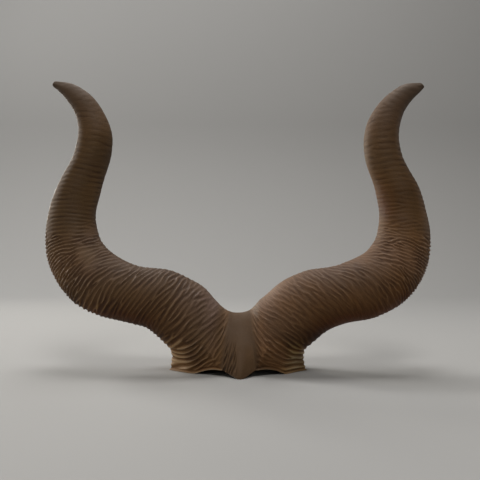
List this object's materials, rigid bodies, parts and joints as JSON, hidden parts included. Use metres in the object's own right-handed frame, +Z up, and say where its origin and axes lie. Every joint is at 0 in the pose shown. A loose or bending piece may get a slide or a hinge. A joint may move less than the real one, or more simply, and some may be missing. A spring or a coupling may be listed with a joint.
{
  "type": "pair of ox horns",
  "caption": "Pair of ridged, dark brown ox horns that sweep out and up to outward tips, joined by a strip of skull with a hollow base that stands on its flat cut.",
  "frame": {"origin": "middle of the base, on the surface that the object stands on", "axes": "+X to the right horn's side as seen from in front, +Y to the back, +Z up; the front faces -Y"},
  "size_m": [0.6703, 0.1478, 0.499],
  "materials": {
    "horn_left": "satin, ridged dark brown horn",
    "horn_right": "satin, ridged dark brown horn",
    "skull": "dull, smooth brown bone with fine wrinkles"
  },
  "bodies": {
    "root": {"left_horn": "horn_left", "right_horn": "horn_right", "skull_strip": "skull"}
  },
  "joints": []
}
